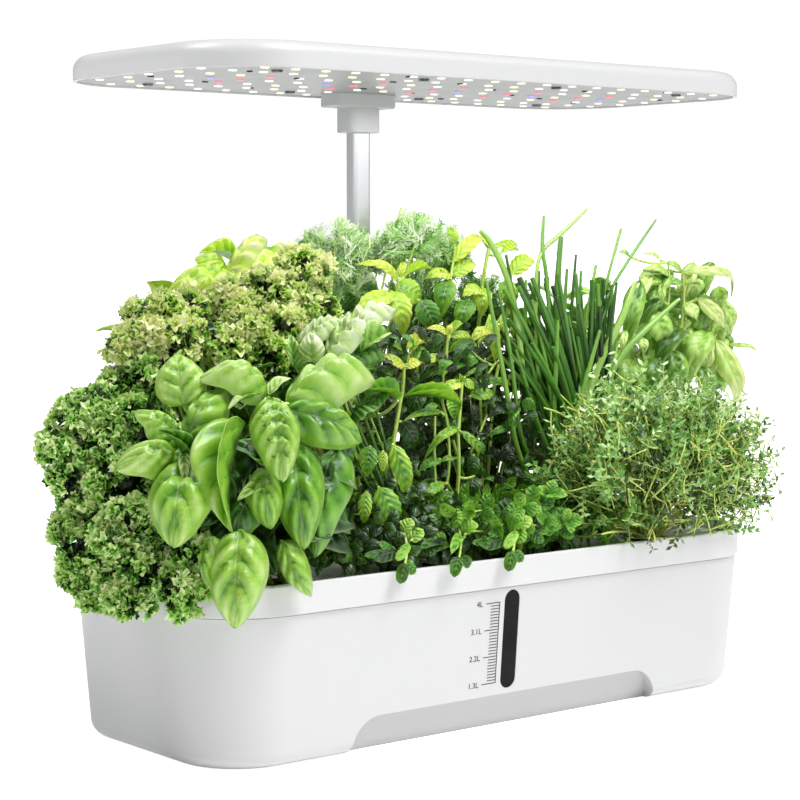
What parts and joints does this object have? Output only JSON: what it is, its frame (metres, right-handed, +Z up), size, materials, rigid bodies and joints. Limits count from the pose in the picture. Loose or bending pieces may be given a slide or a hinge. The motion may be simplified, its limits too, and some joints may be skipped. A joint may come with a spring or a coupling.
{
  "type": "countertop hydroponic garden",
  "caption": "Tapered white water tub with a planting deck of lift-out net pods full of herbs, and an LED lamp slab on a telescopic pole.",
  "frame": {"origin": "centre of the tub's flat underside, on the surface that it stands on", "axes": "+X along the tub to the right as seen from its water window, +Y to the back where the pole stands, +Z up"},
  "size_m": [0.522, 0.1959, 0.3618],
  "materials": {
    "white_abs": "satin moulded ABS",
    "white_gloss": "gloss moulded ABS",
    "smoked_lens": "smoked clear plastic",
    "rubber": "matt rubber",
    "pole_metal": "satin anodised",
    "grey_plastic": "satin moulded",
    "black_plastic": "moulded",
    "circuit_board": "solder mask",
    "button_grey": "satin moulded",
    "led_board": "white solder mask on aluminium",
    "white_led": "lit phosphor",
    "red_led": "lit red",
    "blue_led": "lit blue",
    "screw_steel": "blackened steel",
    "basket_white": "moulded",
    "sponge": "peat grow sponge",
    "front_basil": "living foliage",
    "crinkled_basil": "living foliage",
    "oregano": "living foliage",
    "thyme": "living foliage",
    "dark_parsley": "living foliage",
    "light_parsley": "living foliage",
    "mint": "living foliage",
    "chives": "living foliage",
    "back_basil": "living foliage",
    "dill": "living foliage",
    "lemon_balm": "living foliage",
    "pepper": "living foliage"
  },
  "bodies": {
    "tub": {"tub": "white_abs", "water_window": "smoked_lens", "feet": "rubber"},
    "deck": {"deck": "white_abs", "pole_base": "white_abs", "outer_pole": "pole_metal", "pole_collar": "grey_plastic", "power_inlet": "black_plastic", "control_housing": "white_abs", "control_board": "circuit_board", "pump_body": "black_plastic", "pump_filter": "black_plastic", "pump_outlet": "black_plastic"},
    "fill_cap": {"fill_cap": "white_abs"},
    "light_button": {"light_button": "button_grey"},
    "pump_button": {"pump_button": "button_grey"},
    "lamp": {"inner_pole": "pole_metal", "lamp_bracket": "grey_plastic", "lamp_shell": "white_gloss", "led_board": "led_board", "white_leds": "white_led", "red_leds": "red_led", "blue_leds": "blue_led", "lamp_screws": "screw_steel"},
    "pod_11": {"basket_11": "basket_white", "sponge_11": "sponge", "front_basil": "front_basil"},
    "pod_12": {"basket_12": "basket_white", "sponge_12": "sponge", "crinkled_basil": "crinkled_basil"},
    "pod_13": {"basket_13": "basket_white", "sponge_13": "sponge", "oregano": "oregano"},
    "pod_14": {"basket_14": "basket_white", "sponge_14": "sponge", "thyme": "thyme"},
    "pod_21": {"basket_21": "basket_white", "sponge_21": "sponge", "dark_parsley": "dark_parsley"},
    "pod_22": {"basket_22": "basket_white", "sponge_22": "sponge", "light_parsley": "light_parsley"},
    "pod_23": {"basket_23": "basket_white", "sponge_23": "sponge", "mint": "mint"},
    "pod_24": {"basket_24": "basket_white", "sponge_24": "sponge", "chives": "chives"},
    "pod_31": {"basket_31": "basket_white", "sponge_31": "sponge", "back_basil": "back_basil"},
    "pod_32": {"basket_32": "basket_white", "sponge_32": "sponge", "dill": "dill"},
    "pod_33": {"basket_33": "basket_white", "sponge_33": "sponge", "lemon_balm": "lemon_balm"},
    "pod_34": {"basket_34": "basket_white", "sponge_34": "sponge", "pepper": "pepper"}
  },
  "joints": [
    {"name": "deck_lift", "type": "slide", "parent": "tub", "child": "deck", "axis": [0, 0, 1], "range_m": [0, 0.09]},
    {"name": "lamp_height", "type": "slide", "parent": "deck", "child": "lamp", "axis": [0, 0, 1], "range_m": [-0.055, 0.05]},
    {"name": "fill_cap_hinge", "type": "hinge", "parent": "deck", "child": "fill_cap", "pos_m": [0.1905, 0, 0.0912], "axis": [0, 1, 0], "range_deg": [0, 100]},
    {"name": "light_button_press", "type": "slide", "parent": "deck", "child": "light_button", "axis": [0, 0, 1], "range_m": [-0.0009, 0], "stiffness_N_per_m": 400, "springref_m": 0.001},
    {"name": "pump_button_press", "type": "slide", "parent": "deck", "child": "pump_button", "axis": [0, 0, 1], "range_m": [-0.0009, 0], "stiffness_N_per_m": 400, "springref_m": 0.001},
    {"name": "pod_11_lift", "type": "slide", "parent": "deck", "child": "pod_11", "axis": [0, 0, 1], "range_m": [0, 0.055]},
    {"name": "pod_12_lift", "type": "slide", "parent": "deck", "child": "pod_12", "axis": [0, 0, 1], "range_m": [0, 0.055]},
    {"name": "pod_13_lift", "type": "slide", "parent": "deck", "child": "pod_13", "axis": [0, 0, 1], "range_m": [0, 0.055]},
    {"name": "pod_14_lift", "type": "slide", "parent": "deck", "child": "pod_14", "axis": [0, 0, 1], "range_m": [0, 0.055]},
    {"name": "pod_21_lift", "type": "slide", "parent": "deck", "child": "pod_21", "axis": [0, 0, 1], "range_m": [0, 0.055]},
    {"name": "pod_22_lift", "type": "slide", "parent": "deck", "child": "pod_22", "axis": [0, 0, 1], "range_m": [0, 0.055]},
    {"name": "pod_23_lift", "type": "slide", "parent": "deck", "child": "pod_23", "axis": [0, 0, 1], "range_m": [0, 0.055]},
    {"name": "pod_24_lift", "type": "slide", "parent": "deck", "child": "pod_24", "axis": [0, 0, 1], "range_m": [0, 0.055]},
    {"name": "pod_31_lift", "type": "slide", "parent": "deck", "child": "pod_31", "axis": [0, 0, 1], "range_m": [0, 0.055]},
    {"name": "pod_32_lift", "type": "slide", "parent": "deck", "child": "pod_32", "axis": [0, 0, 1], "range_m": [0, 0.055]},
    {"name": "pod_33_lift", "type": "slide", "parent": "deck", "child": "pod_33", "axis": [0, 0, 1], "range_m": [0, 0.055]},
    {"name": "pod_34_lift", "type": "slide", "parent": "deck", "child": "pod_34", "axis": [0, 0, 1], "range_m": [0, 0.055]}
  ]
}
